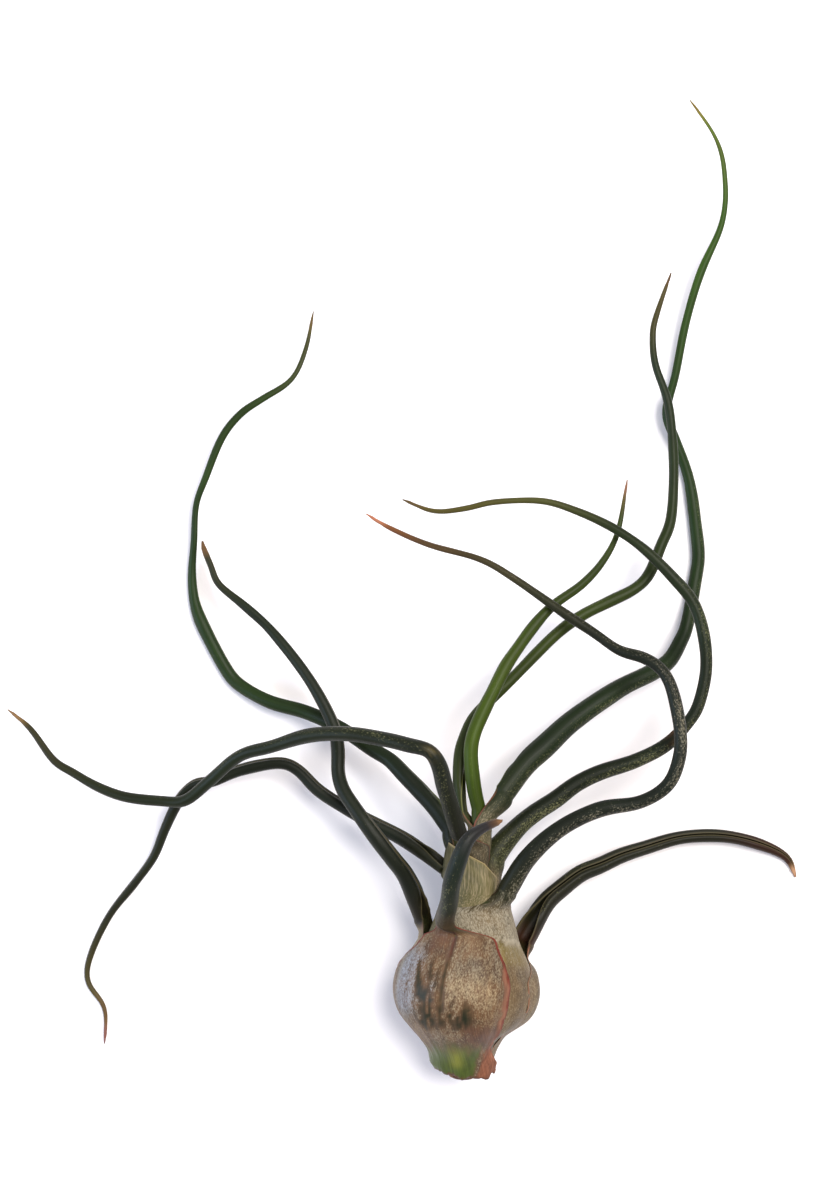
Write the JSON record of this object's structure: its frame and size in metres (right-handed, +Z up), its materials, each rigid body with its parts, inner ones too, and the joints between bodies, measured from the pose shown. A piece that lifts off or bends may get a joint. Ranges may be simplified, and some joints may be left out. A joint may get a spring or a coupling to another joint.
{
  "type": "air plant",
  "caption": "Bulbous air plant lying on a surface: hollow nested leaf sheaths form a bulb, and each runs on into a long, thin, rolled and twisting blade",
  "frame": {"origin": "on the surface the plant lies on, under the middle of its bounding box", "axes": "+Z is up from the surface; +Y runs from the base of the bulb toward the ends of the tall leaves and is the longest side; +X is to the right when looking down with +Y away"},
  "size_m": [0.1658, 0.2032, 0.0399],
  "materials": {
    "stem_wood": "rough, dry, dark brown",
    "outer_leaf": "leathery leaf with fine silvery scales on the sheath, papery red-brown margin, dark olive blade with a dry tan tip",
    "middle_leaf": "leathery, very dark green blade, satin, olive-brown to tan toward the tip",
    "inner_leaf": "leathery, bright green, satin, pink-brown at the tip"
  },
  "bodies": {
    "root": {"stem": "stem_wood", "leaf_01_front": "outer_leaf", "leaf_02_right_low": "outer_leaf", "leaf_03_left_outer": "outer_leaf", "leaf_04_right_hook": "middle_leaf", "leaf_05_left_low": "middle_leaf", "leaf_06_right_hook_wide": "middle_leaf", "leaf_07_left_tall": "middle_leaf", "leaf_08_right_tall": "middle_leaf", "leaf_09_left_arch": "middle_leaf", "leaf_10_inner_right": "inner_leaf", "leaf_11_centre": "inner_leaf"}
  },
  "joints": []
}
